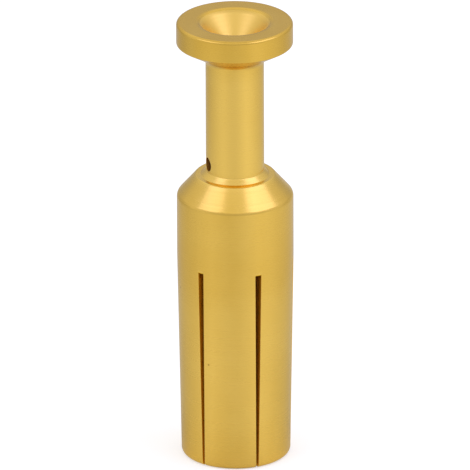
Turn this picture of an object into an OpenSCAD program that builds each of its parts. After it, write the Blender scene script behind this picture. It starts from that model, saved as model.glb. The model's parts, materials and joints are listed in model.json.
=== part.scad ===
// Crimp socket contact, turned from one brass bar and gold plated.
// It stands on its socket end, with the contact's axis along +Z and the origin at the middle of that end.
// A wire goes into the funnel at the top and is crimped in the thin neck.
// A round pin goes into the slotted socket at the bottom, where the closed-in tines grip it.

/* [Socket body] */
// Outer diameter of the socket body
body_d = 5; // [4.6:0.1:6]
// Height of the socket body, from the open end to the shoulder
body_len = 11.9; // [11.5:0.1:14]
// Radius on the outer edge of the open end
end_round = 0.2; // [0.05:0.05:0.4]
// Angle of a drill's point, which both bores end in
drill_point = 118; // [90:1:140]

/* [Slots and tines] */
// Number of saw slots, which is also the number of tines
slot_count = 6; // [2:1:8]
// Height of the slots, measured on the outside
slot_len = 9; // [7:0.1:9.4]
// Width of a slot where the tines start
slot_w = 0.27; // [0.15:0.01:0.35]
// Width of a slot at the open end, after the tines are pressed in
slot_tip_w = 0.1; // [0.02:0.01:0.14]
// Diameter of the saw that cuts the slots
saw_d = 20; // [12:1:40]
// Angle of the first slot around the axis
slot_turn = 53.3; // [0:0.1:90]

/* [Pin bore] */
// Inside diameter of the contact zone, at the tips of the tines
contact_d = 2.4; // [2:0.05:3]
// Height of the top of the contact zone
contact_len = 1.8; // [1:0.1:3]
// Radius of the rounded lead-in that guides the pin
lead_in = 0.3; // [0.1:0.05:0.5]
// How far the bore runs on past the slots
bore_past_slots = 1.1; // [0.5:0.1:1.6]

/* [Shoulder] */
// Height of the chamfer between the body and the ledge
shoulder_len = 0.92; // [0.5:0.01:1.5]
// Outer diameter of the flat ledge around the foot of the neck
ledge_d = 3.4; // [3.2:0.05:4]
// Radius on the outer edge of the ledge
ledge_round = 0.1; // [0.02:0.02:0.14]
// Radius where the body turns into the chamfer
shoulder_round = 0.3; // [0.05:0.05:0.4]

/* [Neck] */
// Outer diameter of the neck, which is the crimp barrel
neck_d = 2.5; // [2.3:0.05:2.55]
// Height of the neck, from the ledge to the lower edge of the flange's rim
neck_len = 6.03; // [5:0.01:8]
// Radius of the fillet at the foot of the neck
neck_fillet = 0.25; // [0.1:0.05:0.25]

/* [Wire bore] */
// Diameter of the bore for the stripped wire
wire_d = 1.3; // [1:0.05:1.9]
// Height of the wire bore's floor above the ledge
wire_floor = 0.1; // [0:0.05:0.6]
// Diameter of the inspection hole through the neck
peep_d = 0.6; // [0.4:0.05:0.8]
// Height of the inspection hole's centre above the wire bore's floor
peep_rise = 0.47; // [0.45:0.01:1.5]
// Angle of the inspection hole around the axis
peep_turn = 200; // [0:1:360]

/* [Flange] */
// Outer diameter of the flange
flange_d = 5; // [4.2:0.1:6]
// Height of the flange's rim
flange_len = 0.95; // [0.7:0.01:1.5]
// Slope of the flange's underside, from flat
under_angle = 30; // [15:1:40]
// Radius of the fillet between the underside and the neck
under_fillet = 0.25; // [0.05:0.05:0.4]
// Radius on the upper edge of the flange
flange_round = 0.1; // [0.02:0.02:0.2]
// Radius on the lower edge of the flange
flange_break = 0.05; // [0.02:0.01:0.15]
// Diameter of the funnel's mouth
funnel_d = 3; // [2.6:0.1:3.4]
// Angle of the funnel, from side to side
funnel_angle = 85; // [60:1:100]
// Radius on the lip of the funnel
funnel_lip = 0.3; // [0.05:0.05:0.4]

/* [Hidden] */
$fn = 96;
// Straight steps in each rounded corner of a turned outline
round_steps = 6;
// Room by which a cutter passes the face that it opens
clear = 0.5;
plated_gold = "#d7b052";

body_r = body_d / 2;
neck_r = neck_d / 2;
ledge_r = ledge_d / 2;
flange_r = flange_d / 2;
wire_r = wire_d / 2;
contact_r = contact_d / 2;
funnel_r = funnel_d / 2;
saw_r = saw_d / 2;

// The saw's middle stands on the axis when its rim reaches slot_len on the outside
saw_z = slot_len - sqrt(saw_r ^ 2 - body_r ^ 2);
slot_top_z = saw_z + saw_r;
// The tines bend where the slots end in the middle of the wall
wall_mid_r = (body_r + contact_r) / 2;
bend_z = saw_z + sqrt(saw_r ^ 2 - wall_mid_r ^ 2);
// Pressing the tines in takes the same length out of every circle around the axis
slot_narrowing = (slot_w - slot_tip_w) / bend_z;
tine_close = slot_count * (slot_w - slot_tip_w) / (2 * PI);
tip_r = body_r - tine_close;
bore_r = contact_r + tine_close * (1 - contact_len / bend_z);
bore_floor_z = slot_len + bore_past_slots;

ledge_z = body_len + shoulder_len;
under_z = ledge_z + neck_len;
neck_head_z = under_z - (flange_r - neck_r) * tan(under_angle);
top_z = under_z + flange_len;
wire_floor_z = ledge_z + wire_floor;
funnel_floor_z = top_z - (funnel_r - wire_r) / tan(funnel_angle / 2);
peep_z = wire_floor_z + peep_rise;

function toward(from, to) = (to - from) / norm(to - from);
function drill_depth(r) = r / tan(drill_point / 2);

// Arc of radius r in the corner p, from its side towards a to its side towards b
function corner_arc(p, a, b, r) =
    let (
        u = toward(p, a),
        v = toward(p, b),
        half = acos(u * v) / 2,
        turn = 180 - 2 * half,
        centre = p + toward([0, 0], u + v) * r / sin(half),
        first = p + u * r / tan(half) - centre,
        last = p + v * r / tan(half) - centre
    )
    [for (i = [0 : round_steps])
        let (t = turn * i / round_steps)
        centre + (first * sin(turn - t) + last * sin(t)) / sin(turn)];

// The bar turned to its outside shape, as radius and height from the open end up
module turned_blank() {
    end_edge = [tip_r, 0];
    bend = [body_r, bend_z];
    shoulder = [body_r, body_len];
    ledge_edge = [ledge_r, ledge_z];
    neck_foot = [neck_r, ledge_z];
    neck_head = [neck_r, neck_head_z];
    flange_low = [flange_r, under_z];
    flange_high = [flange_r, top_z];
    rotate_extrude()
        polygon([
            [0, 0],
            each corner_arc(end_edge, [0, 0], bend, end_round),
            bend,
            each corner_arc(shoulder, bend, ledge_edge, shoulder_round),
            each corner_arc(ledge_edge, shoulder, neck_foot, ledge_round),
            each corner_arc(neck_foot, ledge_edge, neck_head, neck_fillet),
            each corner_arc(neck_head, neck_foot, flange_low, under_fillet),
            each corner_arc(flange_low, neck_head, flange_high, flange_break),
            each corner_arc(flange_high, flange_low, [0, top_z], flange_round),
            [0, top_z],
        ]);
}

// Bore for the pin: rounded lead-in, contact zone, widening between the tines, drill point
module pin_bore() {
    mouth = [contact_r, 0];
    contact_top = [contact_r, contact_len];
    rotate_extrude()
        polygon([
            [0, -clear],
            [contact_r + lead_in, -clear],
            each corner_arc(mouth, [body_r, 0], contact_top, lead_in),
            contact_top,
            [bore_r, bend_z],
            [bore_r, bore_floor_z],
            [0, bore_floor_z + drill_depth(bore_r)],
        ]);
}

// Bore for the wire: funnel with a rounded lip, straight bore, drill point
module wire_bore() {
    funnel_floor = [wire_r, funnel_floor_z];
    mouth = [funnel_r, top_z];
    lip = corner_arc(mouth, funnel_floor, [flange_r, top_z], funnel_lip);
    rotate_extrude()
        polygon([
            [0, wire_floor_z - drill_depth(wire_r)],
            [wire_r, wire_floor_z],
            funnel_floor,
            each lip,
            lip[round_steps] + [0, clear],
            [0, top_z + clear],
        ]);
}

module inspection_hole() {
    translate([0, 0, peep_z])
        rotate([0, 90, peep_turn])
            cylinder(d = peep_d, h = neck_r + clear);
}

// One slot along +X: its end follows the saw's rim, and it narrows towards the open end
module saw_slot() {
    reach = body_r + clear;
    half_top = (slot_tip_w + slot_narrowing * slot_top_z) / 2;
    half_end = (slot_tip_w - slot_narrowing * clear) / 2;
    intersection() {
        rotate([90, 0, 90])
            linear_extrude(reach)
                polygon([
                    [-half_end, -clear],
                    [half_end, -clear],
                    [half_top, slot_top_z],
                    [-half_top, slot_top_z],
                ]);
        rotate([90, 0, 0])
            linear_extrude(2 * slot_w, center = true) {
                translate([0, saw_z])
                    circle(saw_r);
                translate([-clear, saw_z - slot_len - 2 * clear])
                    square([reach + 2 * clear, slot_len + 2 * clear]);
            }
    }
}

module socket_contact() {
    color(plated_gold)
        difference() {
            turned_blank();
            pin_bore();
            wire_bore();
            inspection_hole();
            for (i = [0 : slot_count - 1])
                rotate([0, 0, slot_turn + i * 360 / slot_count])
                    saw_slot();
        }
}

socket_contact();
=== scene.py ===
"""Crimp socket contact: the looks of a turned and gold-plated contact, around its packed solid.

The contact is one piece of metal, so it is one closed mesh.
One sector of the slotted socket, from the middle of a slot to the middle of the next, is modelled once.
A Geometry Nodes tree turns it into the ring of tines and welds that to the turned barrel above.
Lengths are in metres, with +Z up the contact's axis from its open socket end.
"""

import itertools
import json
import math

import bmesh
import bpy
from mathutils import Matrix, Vector


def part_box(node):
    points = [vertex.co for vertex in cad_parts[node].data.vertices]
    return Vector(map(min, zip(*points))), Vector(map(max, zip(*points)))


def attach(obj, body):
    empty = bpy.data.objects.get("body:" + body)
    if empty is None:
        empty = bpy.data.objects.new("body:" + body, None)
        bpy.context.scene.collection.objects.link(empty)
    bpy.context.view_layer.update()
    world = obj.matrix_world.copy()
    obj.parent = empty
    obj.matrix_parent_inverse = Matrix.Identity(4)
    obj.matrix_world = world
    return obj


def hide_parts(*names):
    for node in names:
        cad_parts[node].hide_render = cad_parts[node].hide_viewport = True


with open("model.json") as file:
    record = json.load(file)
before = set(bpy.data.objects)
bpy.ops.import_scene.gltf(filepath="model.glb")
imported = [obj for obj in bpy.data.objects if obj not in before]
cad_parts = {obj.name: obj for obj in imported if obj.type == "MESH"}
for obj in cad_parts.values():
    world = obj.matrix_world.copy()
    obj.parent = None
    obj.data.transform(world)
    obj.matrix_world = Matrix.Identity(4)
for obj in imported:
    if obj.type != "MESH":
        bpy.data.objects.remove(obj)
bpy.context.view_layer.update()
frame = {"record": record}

bl_info = {
    "name": "Crimp socket contact",
    "version": (1, 0, 0),
    "blender": (4, 5, 0),
    "location": "3D View > Sidebar > Contact",
    "description": "Builds a turned, slotted and gold-plated crimp socket contact in a plain studio",
    "category": "Add Mesh",
}

MM = 0.001
CAD_NODE = "socket_contact"
LOW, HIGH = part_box(CAD_NODE)
MOUNTS = {mount["name"]: mount for mount in frame["record"]["mounts"]}

# Straight steps in a rounded corner of a turned outline
ARC_STEPS = 8
# Distance at which a loop beside each rounding keeps the straight run's shading straight
HOLD = 0.03 * MM
# Columns of faces across the middle of a tine, and faces across its wall
TINE_COLUMNS = 16
WALL_STEPS = 3
# Levels along a tine between its contact zone and the end of its slots
TINE_LEVELS = 8
# Levels of faces beside the inspection hole
PEEP_LEVELS = 8
# Points closer than this are one point once the tines are in their ring
WELD = 0.001 * MM
# Edges that turn by more than this stay sharp in the shading
SHARP_EDGE = math.radians(50)
# Name of the face attribute that marks the one modelled sector
SECTOR_FLAG = "tine_sector"
# Name of the point attribute that says how sheltered a surface is, and its values from the outside in; it
# sets the painted light in the funnel, the painted shade in the slots and the bores, and their extra
# roughness
SHELTER = "shelter"
OUTSIDE = 0.0
FUNNEL = 0.4
SLOT = 0.6
PIN_BORE = 0.8
WIRE_BORE = 1.0
# Gap between the floor and the tines, too small to see
FLOOR_DROP = 0.005 * MM

# Edge breaks between the end of a slot and the first level below it
END_ROOM = 3
# How many times nearer or farther than the contact the camera still sees
CLIP_RANGE = 10

# Painted light and shade by height, as a share of the contact's: tines, body, neck, flange; the plating
# is made paler or deeper there to stand in for the light it mirrors
PAINTED_LIGHT_BY_HEIGHT = (
    (0.0, 0.4), (0.06, 0.5), (0.12, 0.75), (0.3, 0.75), (0.36, 0.65), (0.42, 0.3),
    (0.48, 0.3), (0.54, 0.5), (0.6, 0.45), (0.638, 0.5),
    (0.65, 1.0), (0.7, 1.0), (0.88, 0.95),
    (0.91, 0.6), (0.945, 0.3), (0.955, 0.1),
)
# Fineness of the plating's patterns, per metre
CLOUD_SCALE = 420.0
SPECK_SCALE = 960.0
STREAK_SCALE = 1100.0
MARK_SCALE = 14000.0
GRAIN_SCALE = 26000.0
# Part of the noise's range that the clouds and the turning marks spread over
CLOUD_RANGE = (0.35, 0.65)
MARK_RANGE = (0.3, 0.7)
# How much paler or deeper than its zone a cloud is, and how strong its finer detail is
CLOUD_DEPTH = 0.2
CLOUD_DETAIL = 0.55
# Share of the streaks in the clouds, and their fineness up the axis beside that round it
STREAK_SHARE = 0.4
STREAK_SQUEEZE = 0.08
# Fineness of the turning marks along a radius beside that along the axis
RADIAL_MARKS = 0.37
# Distance from a speck's middle where it starts to fade and where it ends, in cells of the pattern
SPECK_FADE = (0.02, 0.06)
# Share of the cells that have a speck
SPECK_CHANCE = 0.3
# Share of the grain in the relief, and the relief's strength and depth
GRAIN_SHARE = 0.45
RELIEF_STRENGTH = 0.35
RELIEF_DEPTH = 0.001 * MM

# Brightness of the pool of light on the floor, from in front of the contact, 0, to behind it, 1
POOL_OF_LIGHT = (
    (0.0, 0.56), (0.047, 0.73), (0.153, 0.99), (0.305, 0.88),
    (0.6, 0.52), (0.83, 0.28), (1.0, 0.05),
)
# How much narrower the pool is, from at the contact, 0, to the pool's end, 1
POOL_NARROWING = ((0.0, 0.4), (0.45, 0.0), (0.85, 0.35))
# Brightness of the sky behind the contact, by height from the horizon, 0, to overhead, 1
BACK_SKY = ((0.0, 0.48), (0.2, 0.5), (0.36, 0.63), (1.0, 0.66))
# How far back the sky is wholly the one behind, from beside the contact, 0, to straight back, 1
BACK_SKY_FULL = 0.4
# Share of the extra light high in the sky, by the same height
HIGH_SKY = ((0.5, 0.0), (0.75, 1.0), (0.95, 1.0), (1.0, 0.6))


def mount_radius(name):
    """Radius of one of the part's round mounts."""
    return MOUNTS[name]["dims"]["r_mm"] * MM


def length(name, description, default):
    """A size that a user may change."""
    return bpy.props.FloatProperty(
        name=name, description=description, default=default, min=0.0, precision=6, unit="LENGTH"
    )


def angle(name, description, degrees):
    """An angle that a user may change."""
    return bpy.props.FloatProperty(
        name=name, description=description, default=math.radians(degrees), subtype="ANGLE"
    )


def share(name, description, default, top=1.0):
    """A plain number that a user may change."""
    return bpy.props.FloatProperty(
        name=name, description=description, default=default, min=0.0, max=top, precision=4
    )


def colour(name, description, default):
    """A colour that a user may change."""
    return bpy.props.FloatVectorProperty(
        name=name, description=description, default=default, size=3, min=0.0, subtype="COLOR"
    )


class BarrelSizes(bpy.types.PropertyGroup):
    """Sizes of the turned barrel: body, shoulder, neck, flange and wire bore."""

    body_radius: length("Body radius", "Radius of the socket body", mount_radius("body_seat"))
    body_height: length("Body height", "Height at which the shoulder starts", 11.9 * MM)
    shoulder_height: length("Shoulder height", "Height of the shoulder's chamfer", 0.92 * MM)
    shoulder_round: length("Shoulder round", "Radius where the body turns into the chamfer", 0.3 * MM)
    ledge_radius: length("Ledge radius", "Outer radius of the ledge round the neck's foot", 1.7 * MM)
    ledge_round: length("Ledge round", "Radius on the ledge's outer edge", 0.1 * MM)
    neck_radius: length("Neck radius", "Radius of the crimp neck", 1.25 * MM)
    foot_width: length("Foot width", "Width of the small cone at the neck's foot", 0.22 * MM)
    foot_height: length("Foot height", "Height of the small cone at the neck's foot", 0.215 * MM)
    foot_round: length("Foot round", "Radius where the neck turns into that cone", 0.08 * MM)
    foot_break: length("Foot break", "Radius where that cone meets the ledge", 0.04 * MM)
    flange_radius: length("Flange radius", "Radius of the flange", (HIGH.x - LOW.x) / 2)
    flange_rim: length("Flange rim", "Height of the flange's rim", 0.95 * MM)
    under_angle: angle("Underside slope", "Slope of the flange's underside, from flat", 30)
    under_fillet: length("Underside fillet", "Fillet between the underside and the neck", 0.4 * MM)
    flange_break: length("Flange break", "Radius on the flange's lower edge", 0.05 * MM)
    flange_round: length("Flange round", "Radius on the flange's upper edge", 0.14 * MM)
    height: length("Height", "Height of the whole contact", HIGH.z)
    funnel_radius: length("Funnel radius", "Radius of the funnel's mouth", 1.5 * MM)
    funnel_angle: angle("Funnel angle", "Angle of the funnel from side to side", 85)
    funnel_lip: length("Funnel lip", "Radius on the funnel's lip", 0.5 * MM)
    funnel_foot: length("Funnel foot", "Radius where the funnel meets the wire bore", 0.05 * MM)
    wire_radius: length("Wire bore radius", "Radius of the wire bore", mount_radius("wire_bore"))
    wire_floor: length("Wire bore floor", "Height of the wire bore's floor above the ledge", 0.1 * MM)
    drill_point: angle("Drill point", "Angle of the drill's point that both bores end in", 118)


class SocketSizes(bpy.types.PropertyGroup):
    """Sizes of the slotted socket: tines, slots and pin bore."""

    tine_count: bpy.props.IntProperty(
        name="Tines", description="Number of tines, and of slots between them", default=6, min=2, max=12
    )
    first_slot: angle("First slot", "Angle of the first slot round the axis", 53.3)
    slot_height: length("Slot height", "Height of the slots on the outside", 9 * MM)
    slot_width: length("Slot width", "Width of a slot where the tines start", 0.27 * MM)
    slot_tip_width: length("Slot tip width", "Width of a slot at the open end", 0.1 * MM)
    saw_radius: length("Saw radius", "Radius of the saw that cut the slots", 10 * MM)
    edge_break: length("Edge break", "Radius on the tines' long edges", 0.02 * MM)
    end_round: length("End round", "Radius on the outer edge of the open end", 0.2 * MM)
    contact_radius: length("Contact radius", "Bore radius at the tines' tips", mount_radius("pin_socket"))
    contact_height: length("Contact height", "Height of the top of the contact zone", 1.8 * MM)
    lead_in: length("Lead-in", "Radius of the rounded lead-in for the pin", 0.3 * MM)
    bore_past_slots: length("Bore past slots", "How far the bore runs on past the slots", 1.1 * MM)


class PeepSizes(bpy.types.PropertyGroup):
    """Sizes of the inspection hole through the neck."""

    radius: length("Radius", "Radius of the inspection hole", 0.3 * MM)
    rise: length("Rise", "Height of its centre above the wire bore's floor", 0.47 * MM)
    turn: angle("Turn", "Angle of the hole round the axis", 200)
    margin: length("Margin", "Room between the hole and the faces round it", 0.018 * MM)
    edge_break: length("Edge break", "Radius on the hole's outer edge", 0.015 * MM)


class GoldFinish(bpy.types.PropertyGroup):
    """Look of the satin gold plating."""

    bright: colour("Bright gold", "Colour of the palest plating", (0.895, 0.6, 0.123))
    deep: colour("Deep gold", "Colour of the deepest plating", (0.775, 0.485, 0.073))
    # Painted shade: the slots' deeper orange stands in for the shade between the tines
    painted_slot_shade: colour("Sawn gold", "Colour of the thin plating in the slots", (0.88, 0.52, 0.02))
    # Painted shade: the dark brown deep in the bores stands in for the shade there
    bore: colour("Bore gold", "Colour of the thinnest plating, deep in the bores", (0.30, 0.135, 0.018))
    speck: colour("Speck", "Colour of the tiny specks", (0.456, 0.268, 0.051))
    edge_tint: colour("Edge tint", "Tint where the plating is seen edge on", (0.97, 0.97, 0.89))
    smoothest: share("Smoothest", "Roughness of the smoothest turned plating", 0.22)
    roughest: share("Roughest", "Roughness of the roughest turned plating", 0.28)
    coarse_extra: share("Coarse extra", "Roughness that a saw or drill adds", 0.26)


class StudioSettings(bpy.types.PropertyGroup):
    """Floor, sky, lamps and camera."""

    floor_colour: colour("Floor colour", "Colour of the floor", (0.67, 0.67, 0.577))
    floor_white: share("Floor white", "Light that keeps the floor white in the picture", 0.5, 2.0)
    floor_pool: share("Floor pool", "Light of the pool that the gold mirrors", 0.285, 2.0)
    pool_lean: share("Pool lean", "How much brighter the pool is on the right than in the middle", 0.16)
    pool_reach: length("Pool reach", "How far to the right the pool is brightest", 30 * MM)
    pool_end: length("Pool end", "How far from the contact the pool's shape still changes", 60 * MM)
    floor_size: length("Floor size", "Side of the square floor", 6.0)
    lamp_distance: length("Lamp distance", "Distance of each lamp from the contact", 0.30)
    left_azimuth: angle("Left azimuth", "Angle of the left lamp from the front", 65.5)
    right_azimuth: angle("Right azimuth", "Angle of the right lamp from the front", 71.5)
    lamp_elevation: angle("Lamp elevation", "Angle of each lamp above the floor", 48)
    left_width: length("Left width", "Width of the left lamp", 0.19)
    right_width: length("Right width", "Width of the right lamp", 0.255)
    lamp_height: length("Lamp height", "Height of each lamp", 0.16)
    left_lamp: share("Left lamp", "Brightness of the left lamp beside that of the floor", 0.62, 10.0)
    right_lamp: share("Right lamp", "Brightness of the right lamp beside that of the floor", 0.79, 10.0)
    lamp_tint: colour("Lamp colour", "Colour of the lamps", (1.0, 1.02, 2.4))
    sky_tint: colour("Sky colour", "Colour of the light from all round", (1.0, 1.0, 1.15))
    front_sky: share("Front sky", "Brightness of the sky in front", 0.63, 2.0)
    side_lift: share("Side lift", "How much brighter the sky is at the sides", 0.3, 2.0)
    high_lift: share("High lift", "How much brighter the sky is high in front and behind", 0.54, 2.0)
    view_elevation: angle("View elevation", "Angle of the camera above the floor", 22.155)
    view_roll: angle("View roll", "Angle by which the camera is rolled", -0.2)
    view_distance: length("View distance", "Distance of the camera", 0.8)
    view_width: length("View width", "Width that the camera sees at the contact", 20.158 * MM)
    view_height: length("View height", "Height on the axis that the camera looks at", 9.954 * MM)
    view_aside: length("View aside", "How far left of the axis the camera looks", 0.0129 * MM)


class TineRule:
    """Where the pressed-in tines lie: one rule ties slot width, body taper and bore taper.

    Pressing the tines in takes the same length out of every circle round the axis.
    """

    def __init__(self, barrel, socket):
        self.sector = 2 * math.pi / socket.tine_count
        self.body_radius = barrel.body_radius
        self.contact_radius = socket.contact_radius
        self.contact_height = socket.contact_height
        self.saw_radius = socket.saw_radius
        self.saw_z = socket.slot_height - math.sqrt(socket.saw_radius**2 - barrel.body_radius**2)
        self.bend_z = self.slot_end((barrel.body_radius + socket.contact_radius) / 2)
        self.tip_width = socket.slot_tip_width
        self.narrowing = (socket.slot_width - socket.slot_tip_width) / self.bend_z
        self.close = (socket.slot_width - socket.slot_tip_width) / self.sector
        self.bore_radius = socket.contact_radius + self.close * (1 - socket.contact_height / self.bend_z)
        self.bore_floor = socket.slot_height + socket.bore_past_slots
        # Height at which the sector is welded to the barrel, between the slots and the bore's floor
        self.join_z = (self.saw_z + self.saw_radius + self.bore_floor) / 2

    def slot_end(self, r):
        """Height of the slot's end, which follows the saw's rim, at a distance from the axis."""
        return self.saw_z + math.sqrt(self.saw_radius**2 - r**2)

    def slot_half(self, z):
        """Half the width of a slot at a height."""
        return (self.tip_width + self.narrowing * z) / 2

    def outer(self, z):
        """Outer radius of the tines and the body at a height."""
        return self.body_radius - self.close * max(0.0, 1 - z / self.bend_z)

    def inner(self, z):
        """Radius of the pin bore at a height."""
        along = (z - self.contact_height) / (self.bend_z - self.contact_height)
        return self.contact_radius + (self.bore_radius - self.contact_radius) * min(max(along, 0.0), 1.0)


def corner_arc(corner, before, after, radius):
    """Points of a rounding in a corner of an outline, from the side before to the side after."""
    u = (before - corner).normalized()
    v = (after - corner).normalized()
    half = u.angle(v) / 2
    turn = math.pi - 2 * half
    centre = corner + (u + v).normalized() * radius / math.sin(half)
    first = corner + u * radius / math.tan(half) - centre
    last = corner + v * radius / math.tan(half) - centre
    steps = [turn * i / ARC_STEPS for i in range(ARC_STEPS + 1)]
    return [centre + (first * math.sin(turn - t) + last * math.sin(t)) / math.sin(turn) for t in steps]


def turned_outline(corners):
    """Points of a turned outline from its corners, each given as radius, height and rounding."""
    places = [Vector((r, z)) for r, z, rounding in corners]
    points = [places[0]]
    for i in range(1, len(corners) - 1):
        before, corner, after = places[i - 1 : i + 2]
        rounding = corners[i][2]
        if not rounding:
            points.append(corner)
            continue
        arc = corner_arc(corner, before, after, rounding)
        points.append(arc[0] + (before - corner).normalized() * HOLD)
        points += arc
        points.append(arc[-1] + (after - corner).normalized() * HOLD)
    return points + [places[-1]]


def with_levels(points, radius, levels):
    """The outline with its straight run at a radius cut at these heights and nowhere between them."""

    def on_run(p):
        return abs(p.x - radius) < WELD

    kept = [p for p in points if not (on_run(p) and levels[0] < p.y < levels[-1])]
    cut = []
    for p, after in zip(kept, kept[1:] + kept[-1:]):
        cut.append(p)
        low, high = sorted((p.y, after.y))
        if on_run(p) and on_run(after) and low <= levels[0] and high >= levels[-1]:
            cut += [Vector((radius, z)) for z in sorted(levels, reverse=after.y < p.y)]
    return cut


def polar_point(bm, r, turn, z):
    """A new point at a radius, an angle and a height."""
    return bm.verts.new((r * math.cos(turn), r * math.sin(turn), z))


def stitch(bm, first, second, closed=False):
    """A row of faces between two rows of points."""
    count = len(first)
    faces = []
    for i in range(count if closed else count - 1):
        j = (i + 1) % count
        faces.append(bm.faces.new((first[i], first[j], second[j], second[i])))
    return faces


def skin(bm, rows, closed=False):
    """Faces between each row of points and the next."""
    return [face for pair in zip(rows, rows[1:]) for face in stitch(bm, *pair, closed)]


def turned_rows(bm, outline, turns):
    """Rings of points round the axis, one for each point of an outline that isn't on the axis."""
    return [[polar_point(bm, p.x, turn, p.y) for turn in turns] for p in outline if p.x > WELD]


def close_point(bm, ring, z):
    """Faces from a ring of points to a point on the axis, as a drill leaves."""
    tip = bm.verts.new((0, 0, z))
    for i, vert in enumerate(ring):
        bm.faces.new((vert, ring[(i + 1) % len(ring)], tip))
    return tip


def edge_break_steps(radius):
    """Places for the rows of points on a rounded edge, and for the row that holds its shading.

    Each is a distance from the edge's wall and a distance below its face.
    """
    halfway = radius * (1 - math.sqrt(0.5))
    return [(0.0, radius), (halfway, halfway), (radius, 0.0), (radius + HOLD, 0.0)]


def tine_path(rule, socket):
    """Outline of a tine from the slot's end down its outside, across its tip and up its inside.

    Returns the points and how many of them lie on the outside, which is as many as on the inside.
    """
    outer_end = rule.slot_end(rule.body_radius)
    inner_end = rule.slot_end(rule.bore_radius)
    below_end = outer_end - END_ROOM * socket.edge_break
    run = below_end - rule.contact_height
    levels = [below_end - run * i / TINE_LEVELS for i in range(TINE_LEVELS + 1)]
    foot = Vector((rule.outer(0), 0))
    mouth = Vector((rule.contact_radius, 0))
    tip = corner_arc(foot, Vector((rule.outer(rule.bend_z), rule.bend_z)), mouth, socket.end_round)
    lead = corner_arc(mouth, foot, Vector((rule.contact_radius, rule.contact_height)), socket.lead_in)
    outer_hold = tip[0].y + HOLD
    inner_hold = lead[-1].y + HOLD
    outside = [Vector((rule.outer(z), z)) for z in [outer_end, *levels, outer_hold]] + tip
    inside = [Vector((rule.inner(z), z)) for z in [inner_end, *levels, inner_hold]][::-1]
    across = [tip[-1].lerp(lead[0], k / WALL_STEPS) for k in range(1, WALL_STEPS)]
    return outside + across + lead + inside, len(outside)


def outward(path):
    """Directions away from the metal at each point of a path that has it on its right."""
    found = []
    for i in range(len(path)):
        along = path[min(i + 1, len(path) - 1)] - path[max(i - 1, 0)]
        found.append(Vector((-along.y, along.x)).normalized())
    return found


def tine_row(bm, rule, socket, point, away, fade):
    """One row of points across a tine, from its slot on one side to its slot on the other."""
    left = []
    for aside, below in edge_break_steps(socket.edge_break):
        p = point - away * below * fade
        left.append((p, math.asin((rule.slot_half(p.y) + aside) / p.x)))
    first = left[-1][1]
    step = (rule.sector - 2 * first) / (TINE_COLUMNS + 1)
    middle = [(point, first + step * k) for k in range(1, TINE_COLUMNS + 1)]
    right = [(p, rule.sector - turn) for p, turn in reversed(left)]
    return [polar_point(bm, p.x, turn, p.y) for p, turn in left + middle + right]


def mark_shelter(bm, rows, shelter):
    """Says how sheltered the surface at rows of points is."""
    layer = bm.verts.layers.float[SHELTER]
    for vert in itertools.chain.from_iterable(rows):
        vert[layer] = shelter


def slot_side(bm, rule, grid, outside, column):
    """The wall of a slot, and half of the slot's end, on one side of a tine.

    Returns the points of the slot's end that lie in the slot's middle plane, from the outside in.
    """
    mirrored = column != 0
    swing = Matrix.Rotation(rule.sector, 3, "Z") if mirrored else Matrix.Identity(3)
    flip = -1 if mirrored else 1

    def in_slot(x, y, z):
        return bm.verts.new(swing @ Vector((x, flip * y, z)))

    rows = []
    for i in range(outside - 1):
        a = grid[i][column]
        b = grid[-1 - i][column]
        reach_a = (swing.transposed() @ a.co).x
        reach_b = (swing.transposed() @ b.co).x
        row = [a]
        for k in range(1, WALL_STEPS):
            x = reach_a + (reach_b - reach_a) * k / WALL_STEPS
            z = a.co.z + (b.co.z - a.co.z) * k / WALL_STEPS if i else rule.slot_end(x)
            row.append(in_slot(x, rule.slot_half(z), z))
        rows.append(row + [b])
    rows.append([grid[outside - 1 + k][column] for k in range(WALL_STEPS + 1)])
    skin(bm, rows)
    middle = []
    for vert in rows[0]:
        x = math.hypot(vert.co.x, vert.co.y)
        middle.append(in_slot(x, 0, vert.co.z))
    stitch(bm, middle, rows[0])
    mark_shelter(bm, [middle, *rows], SLOT)
    return middle


def add_tine(bm, rule, socket):
    """One tine with half a slot on each side, up to the height where it is welded to the barrel.

    Returns the angles of its columns on the outside and on the inside.
    """
    path, outside = tine_path(rule, socket)
    fades = [0.0] + [1.0] * (len(path) - 2) + [0.0]
    grid = [tine_row(bm, rule, socket, *row) for row in zip(path, outward(path), fades)]
    skin(bm, grid)
    # The bore starts at the last row of the lead-in
    mark_shelter(bm, grid[ARC_STEPS - outside :], PIN_BORE)
    left = slot_side(bm, rule, grid, outside, 0)
    right = slot_side(bm, rule, grid, outside, -1)
    columns = []
    for end, row, radius, levels, shelter in (
        (0, grid[0], rule.outer, (rule.bend_z, rule.join_z), OUTSIDE),
        (-1, grid[-1], rule.inner, (rule.join_z,), PIN_BORE),
    ):
        turns = [0.0] + [math.atan2(v.co.y, v.co.x) for v in row] + [rule.sector]
        rows = [[left[end], *row, right[end]]]
        for z in levels:
            rows.append([polar_point(bm, radius(z), turn, z) for turn in turns])
        skin(bm, rows)
        mark_shelter(bm, rows[1:], shelter)
        columns.append(turns[:-1])
    return columns


def all_round(turns, rule, count):
    """The columns of one sector repeated round the axis."""
    return [k * rule.sector + turn for k in range(count) for turn in turns]


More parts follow.
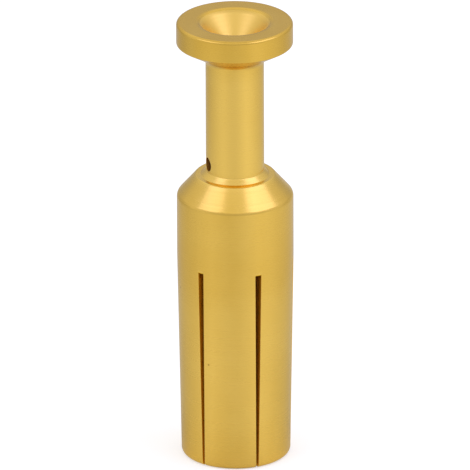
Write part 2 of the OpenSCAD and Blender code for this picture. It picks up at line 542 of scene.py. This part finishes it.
def barrel_outline(barrel, rule):
    """Outline of the barrel from the weld up its outside, over the flange and down the wire bore."""
    ledge_z = barrel.body_height + barrel.shoulder_height
    slope = math.tan(barrel.funnel_angle / 2)
    funnel_floor = barrel.height - (barrel.funnel_radius - barrel.wire_radius) / slope
    wire_floor = ledge_z + barrel.wire_floor
    rim_z = barrel.height - barrel.flange_rim
    neck_head_z = rim_z - (barrel.flange_radius - barrel.neck_radius) * math.tan(barrel.under_angle)
    tip_z = wire_floor - barrel.wire_radius / math.tan(barrel.drill_point / 2)
    return turned_outline(
        [
            (barrel.body_radius, rule.join_z, 0),
            (barrel.body_radius, barrel.body_height, barrel.shoulder_round),
            (barrel.ledge_radius, ledge_z, barrel.ledge_round),
            (barrel.neck_radius + barrel.foot_width, ledge_z, barrel.foot_break),
            (barrel.neck_radius, ledge_z + barrel.foot_height, barrel.foot_round),
            (barrel.neck_radius, neck_head_z, barrel.under_fillet),
            (barrel.flange_radius, rim_z, barrel.flange_break),
            (barrel.flange_radius, barrel.height, barrel.flange_round),
            (barrel.funnel_radius, barrel.height, barrel.funnel_lip),
            (barrel.wire_radius, funnel_floor, barrel.funnel_foot),
            (barrel.wire_radius, wire_floor, 0),
            (0, tip_z, 0),
        ]
    )


def window(level_rows, first, last):
    """Points once round a window in rows that go upwards, from its first column to its last."""
    columns = [k % len(level_rows[0]) for k in range(first, last + 1)]
    bottom = [level_rows[0][k] for k in columns]
    top = [level_rows[-1][k] for k in columns]
    right = [row[columns[-1]] for row in level_rows[1:-1]]
    left = [row[columns[0]] for row in level_rows[1:-1]]
    return bottom + right + top[::-1] + left[::-1]


def add_peephole(bm, barrel, peep, turn, z, neck_window, bore_window):
    """The inspection hole, between a window in the neck's outside and a window in the wire bore."""
    swing = Matrix.Rotation(turn, 3, "Z")
    around = []
    for vert in neck_window:
        local = swing.transposed() @ vert.co
        around.append(math.atan2(local.z - z, local.y))

    def rim(radius, wall, below):
        points = []
        for t in around:
            aside = radius * math.cos(t)
            out = math.sqrt(wall**2 - aside**2) - below
            points.append(bm.verts.new(swing @ Vector((out, aside, z + radius * math.sin(t)))))
        return points

    rims = [
        rim(peep.radius + aside, barrel.neck_radius, below)
        for aside, below in reversed(edge_break_steps(peep.edge_break))
    ]
    rims.append(rim(peep.radius, barrel.wire_radius, 0))
    mark_shelter(bm, rims[-2:], WIRE_BORE)
    skin(bm, [neck_window, *rims, bore_window], closed=True)


def add_barrel(bm, barrel, socket, peep, rule, turns):
    """The barrel above the tines, with the inspection hole through its neck."""
    peep_z = barrel.body_height + barrel.shoulder_height + barrel.wire_floor + peep.rise
    reach = peep.radius + peep.margin
    levels = [peep_z - reach + 2 * reach * i / PEEP_LEVELS for i in range(PEEP_LEVELS + 1)]
    outline = barrel_outline(barrel, rule)
    for radius in (barrel.neck_radius, barrel.wire_radius):
        outline = with_levels(outline, radius, levels)
    rows = turned_rows(bm, outline, turns)
    lip = max(i for i, p in enumerate(outline) if p.x > barrel.funnel_radius) + 1
    bore = min(i for i, p in enumerate(outline) if i > lip and p.x < barrel.wire_radius + WELD)
    mark_shelter(bm, rows[lip:bore], FUNNEL)
    mark_shelter(bm, rows[bore:], WIRE_BORE)

    # The window of faces that the inspection hole replaces, in the neck and in the wire bore
    peep_turn = (peep.turn - socket.first_slot) % (2 * math.pi)
    spread = math.asin(reach / barrel.wire_radius)
    first = max(k for k, turn in enumerate(turns) if turn <= peep_turn - spread)
    last = min(k for k, turn in enumerate(turns) if turn >= peep_turn + spread)
    windows = []
    holed = set()
    for radius in (barrel.neck_radius, barrel.wire_radius):
        beside = [
            i
            for i, p in enumerate(outline)
            if abs(p.x - radius) < WELD and levels[0] - WELD < p.y < levels[-1] + WELD
        ]
        holed.update(beside[:-1])
        upwards = sorted((rows[i] for i in beside), key=lambda row: row[0].co.z)
        windows.append(window(upwards, first, last))
    for i, (lower, upper) in enumerate(zip(rows, rows[1:])):
        for k in range(len(turns)):
            n = (k + 1) % len(turns)
            if i not in holed or not first <= k < last:
                bm.faces.new((lower[k], lower[n], upper[n], upper[k]))
    tip = close_point(bm, rows[-1], outline[-1].y)
    mark_shelter(bm, [[tip]], WIRE_BORE)
    add_peephole(bm, barrel, peep, peep_turn, peep_z, *windows)


def add_bore_end(bm, barrel, rule, turns):
    """The end of the pin bore above the tines, down to the drill's point."""
    levels = (rule.join_z, rule.bore_floor)
    rows = turned_rows(bm, [Vector((rule.bore_radius, z)) for z in levels], turns)
    skin(bm, rows, closed=True)
    tip_z = rule.bore_floor + rule.bore_radius / math.tan(barrel.drill_point / 2)
    tip = close_point(bm, rows[-1], tip_z)
    mark_shelter(bm, [*rows, [tip]], PIN_BORE)


def contact_mesh(barrel, socket, peep):
    """The barrel and one flagged sector of the socket, with the first slot along +X."""
    rule = TineRule(barrel, socket)
    bm = bmesh.new()
    flag = bm.faces.layers.bool.new(SECTOR_FLAG)
    bm.verts.layers.float.new(SHELTER)
    outer_turns, inner_turns = add_tine(bm, rule, socket)
    for face in bm.faces:
        face[flag] = True
    add_barrel(bm, barrel, socket, peep, rule, all_round(outer_turns, rule, socket.tine_count))
    add_bore_end(bm, barrel, rule, all_round(inner_turns, rule, socket.tine_count))
    mesh = bpy.data.meshes.new("turned_contact")
    bm.to_mesh(mesh)
    bm.free()
    return mesh


def add_node(tree, kind, **settings):
    """A new node with its settings.

    An input is named with underscores for spaces, and set to a value or linked to an output.
    """
    node = tree.nodes.new(kind)
    for name, value in settings.items():
        if hasattr(node, name):
            setattr(node, name, value)
            continue
        put(tree, node.inputs[name.replace("_", " ")], value)
    return node


def put(tree, socket, value):
    """Sets an input, or links an output to it."""
    if isinstance(value, bpy.types.NodeSocket):
        tree.links.new(value, socket)
    else:
        socket.default_value = value


def calculate(tree, operation, *values, clamp=False):
    """Output of a calculation on numbers, each a value or another output."""
    node = add_node(tree, "ShaderNodeMath", operation=operation, use_clamp=clamp)
    for socket, value in zip(node.inputs, values):
        put(tree, socket, value)
    return node.outputs["Value"]


def on_vectors(tree, operation, *vectors):
    """Outputs of a calculation on vectors, each a value or another output."""
    node = add_node(tree, "ShaderNodeVectorMath", operation=operation)
    for socket, vector in zip(node.inputs, vectors):
        put(tree, socket, vector)
    return node.outputs


def remap(tree, value, **limits):
    """Output that takes a value from one range to another, 0 to 1 where none is given."""
    return add_node(tree, "ShaderNodeMapRange", Value=value, **limits).outputs["Result"]


def blend(tree, data_type, factor, first, second):
    """Output of a mix of two numbers, FLOAT, or two colours, RGBA."""
    node = add_node(tree, "ShaderNodeMix", data_type=data_type, Factor=factor)
    sockets = {socket.identifier: socket for socket in (*node.inputs, *node.outputs)}
    ending = {"FLOAT": "_Float", "RGBA": "_Color"}[data_type]
    put(tree, sockets["A" + ending], first)
    put(tree, sockets["B" + ending], second)
    return sockets["Result" + ending]


def add_ramp(tree, value, stops):
    """A ramp over a value, from its stops of position and grey or colour; returns its output."""
    ramp = add_node(tree, "ShaderNodeValToRGB", Fac=value)
    elements = ramp.color_ramp.elements
    elements.remove(elements[1])
    for i, (position, tone) in enumerate(stops):
        stop = elements.new(position) if i else elements[0]
        stop.position = position
        stop.color = (tone, tone, tone, 1.0) if isinstance(tone, float) else (*tone, 1.0)
    return ramp.outputs["Color"]


def tine_ring_tree():
    """Tree that turns the flagged sector into a ring of tines and welds it to the rest."""
    tree = bpy.data.node_groups.new("tine_ring", "GeometryNodeTree")
    for name, kind in (
        ("Geometry", "NodeSocketGeometry"),
        ("Tines", "NodeSocketInt"),
        ("First slot", "NodeSocketFloat"),
        ("Weld distance", "NodeSocketFloat"),
        ("Finish", "NodeSocketMaterial"),
    ):
        tree.interface.new_socket(name, in_out="INPUT", socket_type=kind)
    tree.interface.new_socket("Geometry", in_out="OUTPUT", socket_type="NodeSocketGeometry")
    given = add_node(tree, "NodeGroupInput").outputs

    flag = add_node(tree, "GeometryNodeInputNamedAttribute", data_type="BOOLEAN", Name=SECTOR_FLAG)
    parts = add_node(tree, "GeometryNodeSeparateGeometry", domain="FACE", Geometry=given["Geometry"])
    put(tree, parts.inputs["Selection"], flag.outputs["Attribute"])

    places = add_node(tree, "GeometryNodePoints", Count=given["Tines"])
    index = add_node(tree, "GeometryNodeInputIndex").outputs["Index"]
    pitch = calculate(tree, "DIVIDE", 2 * math.pi, given["Tines"])
    turns = add_node(tree, "ShaderNodeCombineXYZ", Z=calculate(tree, "MULTIPLY", index, pitch))
    ring = add_node(tree, "GeometryNodeInstanceOnPoints", Points=places.outputs[0])
    put(tree, ring.inputs["Instance"], parts.outputs["Selection"])
    put(tree, ring.inputs["Rotation"], turns.outputs["Vector"])

    joined = add_node(tree, "GeometryNodeJoinGeometry", Geometry=ring.outputs["Instances"])
    put(tree, joined.inputs["Geometry"], parts.outputs["Inverted"])
    first = add_node(tree, "ShaderNodeCombineXYZ", Z=given["First slot"])
    turned = add_node(tree, "GeometryNodeTransform", Geometry=joined.outputs["Geometry"])
    put(tree, turned.inputs["Rotation"], first.outputs["Vector"])
    real = add_node(tree, "GeometryNodeRealizeInstances", Geometry=turned.outputs["Geometry"])
    welded = add_node(tree, "GeometryNodeMergeByDistance", Geometry=real.outputs["Geometry"])
    put(tree, welded.inputs["Distance"], given["Weld distance"])
    smooth = add_node(tree, "GeometryNodeSetShadeSmooth", Geometry=welded.outputs["Geometry"])
    plated = add_node(tree, "GeometryNodeSetMaterial", Geometry=smooth.outputs["Geometry"])
    put(tree, plated.inputs["Material"], given["Finish"])
    add_node(tree, "NodeGroupOutput", Geometry=plated.outputs["Geometry"])
    return tree


def ring_of_tines(piece, socket, finish):
    """Runs the tree on the piece and keeps its result as a plain mesh, faces outwards."""
    tree = tine_ring_tree()
    modifier = piece.modifiers.new("tine_ring", "NODES")
    modifier.node_group = tree
    values = {
        "Tines": socket.tine_count,
        "First slot": socket.first_slot,
        "Weld distance": WELD,
        "Finish": finish,
    }
    for item in tree.interface.items_tree:
        if item.name in values:
            modifier[item.identifier] = values[item.name]
    depsgraph = bpy.context.evaluated_depsgraph_get()
    made = bpy.data.meshes.new_from_object(piece.evaluated_get(depsgraph))
    piece.modifiers.remove(modifier)
    piece.data = made
    bm = bmesh.new()
    bm.from_mesh(made)
    loose = [edge for edge in bm.edges if len(edge.link_faces) != 2]
    if loose:
        raise RuntimeError(f"the contact isn't closed: {len(loose)} edges don't have two faces")
    bmesh.ops.recalc_face_normals(bm, faces=bm.faces)
    bm.to_mesh(made)
    bm.free()
    made.attributes.remove(made.attributes[SECTOR_FLAG])
    made.set_sharp_from_angle(angle=SHARP_EDGE)


def gold_plating(finish):
    """Satin gold plating on turned brass: clouds, faint streaks, turning marks, grain and specks, with
    painted light and shade by height and in the funnel, slots and bores.
    """
    material = bpy.data.materials.new("satin_gold_plating")
    material.use_nodes = True
    tree = material.node_tree
    shader = tree.nodes["Principled BSDF"]
    shader.inputs["Metallic"].default_value = 1.0
    shader.inputs["Specular Tint"].default_value = (*finish.edge_tint, 1.0)
    place = add_node(tree, "ShaderNodeTexCoord").outputs["Object"]
    height = add_node(tree, "ShaderNodeSeparateXYZ", Vector=place).outputs["Z"]

    # Rings that a turning tool leaves: by height on the sides, by radius on the flats
    flat = on_vectors(tree, "MULTIPLY", place, (1.0, 1.0, 0.0))["Vector"]
    radius = on_vectors(tree, "LENGTH", flat)["Value"]
    along = calculate(tree, "MULTIPLY_ADD", radius, RADIAL_MARKS, height)
    rings = add_node(tree, "ShaderNodeTexNoise", noise_dimensions="1D", Scale=MARK_SCALE, Detail=3.0)
    put(tree, rings.inputs["W"], along)
    marks = rings.outputs["Fac"]

    # Cloudy tone of the plating bath, and faint streaks up the sides
    clouds = add_node(tree, "ShaderNodeTexNoise", Vector=place, Scale=CLOUD_SCALE, Detail=3.0)
    put(tree, clouds.inputs["Roughness"], CLOUD_DETAIL)
    stretch = add_node(tree, "ShaderNodeMapping", Vector=place, Scale=(1.0, 1.0, STREAK_SQUEEZE))
    streaks = add_node(tree, "ShaderNodeTexNoise", Scale=STREAK_SCALE, Detail=2.0)
    put(tree, streaks.inputs["Vector"], stretch.outputs["Vector"])
    cloudy = blend(tree, "FLOAT", STREAK_SHARE, clouds.outputs["Fac"], streaks.outputs["Fac"])
    low, high = CLOUD_RANGE
    spread = remap(tree, cloudy, From_Min=low, From_Max=high, To_Min=-CLOUD_DEPTH, To_Max=CLOUD_DEPTH)

    # Painted light and shade by height: the plating is made palest on the neck and deepest on the flange
    painted_height_light = add_ramp(tree, remap(tree, height, From_Max=HIGH.z), PAINTED_LIGHT_BY_HEIGHT)
    tone = calculate(tree, "ADD", painted_height_light, spread, clamp=True)
    gold = blend(tree, "RGBA", tone, (*finish.deep, 1.0), (*finish.bright, 1.0))

    # Painted light and shade inside, by how sheltered a surface is: the funnel is painted pale, the slots
    # a deeper orange and the bores dark brown
    shelter = add_node(tree, "ShaderNodeAttribute", attribute_name=SHELTER).outputs["Fac"]
    painted_inner_tones = ((FUNNEL, finish.bright), (SLOT, finish.painted_slot_shade), (WIRE_BORE, finish.bore))
    inside = remap(tree, shelter, From_Max=FUNNEL)
    plating = blend(tree, "RGBA", inside, gold, add_ramp(tree, shelter, painted_inner_tones))

    # A few specks, each a small dot in one cell out of several
    cells = add_node(tree, "ShaderNodeTexVoronoi", Vector=place, Scale=SPECK_SCALE).outputs
    low, high = SPECK_FADE
    dots = remap(tree, cells["Distance"], From_Min=low, From_Max=high, To_Min=1.0, To_Max=0.0)
    chance = add_node(tree, "ShaderNodeSeparateColor", Color=cells["Color"]).outputs["Red"]
    chosen = calculate(tree, "GREATER_THAN", chance, 1 - SPECK_CHANCE)
    specks = calculate(tree, "MULTIPLY", dots, chosen)
    specked = blend(tree, "RGBA", specks, plating, (*finish.speck, 1.0))
    put(tree, shader.inputs["Base Color"], specked)

    # Roughness follows the turning marks, and is higher where a saw or a drill has cut
    low, high = MARK_RANGE
    limits = {"To_Min": finish.smoothest, "To_Max": finish.roughest}
    rough = remap(tree, marks, From_Min=low, From_Max=high, **limits)
    coarse = remap(tree, shelter, From_Max=SLOT, To_Max=finish.coarse_extra)
    put(tree, shader.inputs["Roughness"], calculate(tree, "ADD", rough, coarse))

    # Marks and grain as relief
    grain = add_node(tree, "ShaderNodeTexNoise", Vector=place, Scale=GRAIN_SCALE, Detail=2.0)
    relief = blend(tree, "FLOAT", GRAIN_SHARE, marks, grain.outputs["Fac"])
    bump = add_node(tree, "ShaderNodeBump", Strength=RELIEF_STRENGTH, Distance=RELIEF_DEPTH)
    put(tree, bump.inputs["Height"], relief)
    put(tree, shader.inputs["Normal"], bump.outputs["Normal"])
    return material


def pale_floor(studio):
    """Pale floor that looks white beside the contact and keeps its shadow."""
    material = bpy.data.materials.new("pale_floor")
    material.use_nodes = True
    tree = material.node_tree
    tree.nodes.clear()
    matt = add_node(tree, "ShaderNodeBsdfDiffuse", Color=(*studio.floor_colour, 1.0))

    # The pool of light, by direction from the contact, narrowed by the distance from it
    place = add_node(tree, "ShaderNodeTexCoord").outputs["Object"]
    away = on_vectors(tree, "NORMALIZE", place)["Vector"]
    back = add_node(tree, "ShaderNodeSeparateXYZ", Vector=away).outputs["Y"]
    behind = remap(tree, back, From_Min=-1.0)
    off = remap(tree, on_vectors(tree, "LENGTH", place)["Value"], From_Max=studio.pool_end)
    narrowing = add_ramp(tree, off, POOL_NARROWING)
    narrowed = calculate(tree, "MULTIPLY_ADD", behind, narrowing, behind, clamp=True)

    # It is a little brighter on the right than on the left
    aside = add_node(tree, "ShaderNodeSeparateXYZ", Vector=place).outputs["X"]
    reach = {"From_Min": -studio.pool_reach, "From_Max": studio.pool_reach}
    lean = remap(tree, aside, **reach, To_Min=-studio.pool_lean, To_Max=studio.pool_lean)
    around = calculate(tree, "ADD", add_ramp(tree, narrowed, POOL_OF_LIGHT), lean)
    pool = calculate(tree, "MULTIPLY", around, studio.floor_pool)

    # The gold mirrors the pool, and the camera sees the floor white
    path = add_node(tree, "ShaderNodeLightPath").outputs
    mirrored = calculate(tree, "MAXIMUM", path["Is Glossy Ray"], path["Is Transmission Ray"])
    shown = calculate(tree, "MULTIPLY", mirrored, pool)
    strength = calculate(tree, "MULTIPLY_ADD", path["Is Camera Ray"], studio.floor_white, shown)
    glow = add_node(tree, "ShaderNodeEmission", Strength=strength)
    lit = add_node(tree, "ShaderNodeAddShader")
    put(tree, lit.inputs[0], matt.outputs["BSDF"])
    put(tree, lit.inputs[1], glow.outputs["Emission"])

    # Seen from below the floor is clear, so that the contact's underside shows
    side = add_node(tree, "ShaderNodeNewGeometry").outputs["Backfacing"]
    clear = add_node(tree, "ShaderNodeBsdfTransparent")
    both = add_node(tree, "ShaderNodeMixShader", Fac=side)
    put(tree, both.inputs[1], lit.outputs["Shader"])
    put(tree, both.inputs[2], clear.outputs["BSDF"])
    add_node(tree, "ShaderNodeOutputMaterial", Surface=both.outputs["Shader"])
    return material


def add_floor(studio):
    """The floor that the contact stands on."""
    half = studio.floor_size / 2
    corners = [(x * half, y * half, -FLOOR_DROP) for x, y in ((-1, -1), (1, -1), (1, 1), (-1, 1))]
    mesh = bpy.data.meshes.new("floor")
    mesh.from_pydata(corners, [], [(0, 1, 2, 3)])
    mesh.materials.append(pale_floor(studio))
    floor = bpy.data.objects.new("floor", mesh)
    bpy.context.scene.collection.objects.link(floor)


def add_lamp(studio, azimuth, width, radiance):
    """A soft lamp at an angle from the front, aimed at the contact."""
    level = math.cos(studio.lamp_elevation)
    rise = math.sin(studio.lamp_elevation)
    away = Vector((level * math.sin(azimuth), -level * math.cos(azimuth), rise))
    lamp = bpy.data.lights.new("soft_lamp", "AREA")
    lamp.shape = "RECTANGLE"
    lamp.size = width
    lamp.size_y = studio.lamp_height
    lamp.color = studio.lamp_tint
    lamp.energy = radiance * math.pi * width * studio.lamp_height
    holder = bpy.data.objects.new("soft_lamp", lamp)
    holder.visible_camera = False
    bpy.context.scene.collection.objects.link(holder)
    holder.location = Vector((0, 0, studio.view_height)) + away * studio.lamp_distance
    holder.rotation_euler = away.to_track_quat("Z", "Y").to_euler()


def add_sky(studio):
    """Soft light from all round, dimmer low behind and brighter at the sides and high up."""
    world = bpy.data.worlds.new("studio")
    world.use_nodes = True
    bpy.context.scene.world = world
    tree = world.node_tree
    background = tree.nodes["Background"]
    background.inputs["Color"].default_value = (*studio.sky_tint, 1.0)
    direction = add_node(tree, "ShaderNodeTexCoord").outputs["Generated"]
    axes = add_node(tree, "ShaderNodeSeparateXYZ", Vector=direction).outputs
    behind = remap(tree, axes["Y"], From_Max=BACK_SKY_FULL)
    even = blend(tree, "FLOAT", behind, studio.front_sky, add_ramp(tree, axes["Z"], BACK_SKY))
    aside = calculate(tree, "MULTIPLY", axes["X"], axes["X"])
    sides = calculate(tree, "MULTIPLY_ADD", aside, studio.side_lift, 1.0)
    lift = calculate(tree, "MULTIPLY", calculate(tree, "ABSOLUTE", axes["Y"]), studio.high_lift)
    high = calculate(tree, "MULTIPLY", lift, add_ramp(tree, axes["Z"], HIGH_SKY))
    put(tree, background.inputs["Strength"], calculate(tree, "MULTIPLY_ADD", even, sides, high))


def add_camera(studio):
    """The camera at the photograph's viewing angle, far off with a long lens."""
    lens = bpy.data.cameras.new("camera")
    lens.sensor_width = 36.0
    lens.lens = lens.sensor_width * studio.view_distance / studio.view_width
    lens.clip_start = studio.view_distance / CLIP_RANGE
    lens.clip_end = studio.view_distance * CLIP_RANGE
    camera = bpy.data.objects.new("camera", lens)
    bpy.context.scene.collection.objects.link(camera)
    back = Vector((0, -math.cos(studio.view_elevation), math.sin(studio.view_elevation)))
    camera.location = Vector((-studio.view_aside, 0, studio.view_height)) + back * studio.view_distance
    roll = Matrix.Rotation(studio.view_roll, 3, "Z").to_quaternion()
    camera.rotation_euler = (back.to_track_quat("Z", "Y") @ roll).to_euler()
    bpy.context.scene.camera = camera


class OBJECT_OT_turned_contact(bpy.types.Operator):
    """Build the turned, slotted and gold-plated contact"""

    bl_idname = "object.turned_contact"
    bl_label = "Turned contact"
    bl_options = {"REGISTER", "UNDO"}

    def execute(self, context):
        scene = context.scene
        mesh = contact_mesh(scene.contact_barrel, scene.contact_socket, scene.contact_peep)
        piece = bpy.data.objects.new("turned_contact", mesh)
        scene.collection.objects.link(piece)
        ring_of_tines(piece, scene.contact_socket, gold_plating(scene.contact_gold))
        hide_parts(CAD_NODE)
        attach(piece, "root")
        return {"FINISHED"}


class OBJECT_OT_contact_studio(bpy.types.Operator):
    """Build the floor, the soft lamps, the sky and the camera"""

    bl_idname = "object.contact_studio"
    bl_label = "Contact studio"
    bl_options = {"REGISTER", "UNDO"}

    def execute(self, context):
        studio = context.scene.contact_studio
        context.scene.view_settings.view_transform = "Standard"
        add_floor(studio)
        add_lamp(studio, -studio.left_azimuth, studio.left_width, studio.left_lamp)
        add_lamp(studio, studio.right_azimuth, studio.right_width, studio.right_lamp)
        add_sky(studio)
        add_camera(studio)
        return {"FINISHED"}


class VIEW3D_PT_contact(bpy.types.Panel):
    """Sizes, finish and studio of the contact"""

    bl_idname = "VIEW3D_PT_contact"
    bl_label = "Crimp socket contact"
    bl_space_type = "VIEW_3D"
    bl_region_type = "UI"
    bl_category = "Contact"

    def draw(self, context):
        for operator in OPERATORS:
            self.layout.operator(operator.bl_idname)
        for name, group in GROUPS.items():
            box = self.layout.box()
            box.label(text=group.__doc__)
            for field in group.__annotations__:
                box.prop(getattr(context.scene, name), field)


GROUPS = {
    "contact_barrel": BarrelSizes,
    "contact_socket": SocketSizes,
    "contact_peep": PeepSizes,
    "contact_gold": GoldFinish,
    "contact_studio": StudioSettings,
}
OPERATORS = (OBJECT_OT_turned_contact, OBJECT_OT_contact_studio)
CLASSES = (*GROUPS.values(), *OPERATORS, VIEW3D_PT_contact)


def register():
    """Makes the classes known to Blender and gives each scene its settings."""
    for cls in CLASSES:
        bpy.utils.register_class(cls)
    for name, group in GROUPS.items():
        setattr(bpy.types.Scene, name, bpy.props.PointerProperty(type=group))


def unregister():
    """Takes the settings and the classes away again."""
    for name in GROUPS:
        delattr(bpy.types.Scene, name)
    for cls in reversed(CLASSES):
        bpy.utils.unregister_class(cls)


def main():
    """Builds the contact and its studio."""
    register()
    bpy.ops.object.turned_contact()
    bpy.ops.object.contact_studio()


if __name__ == "__main__":
    main()
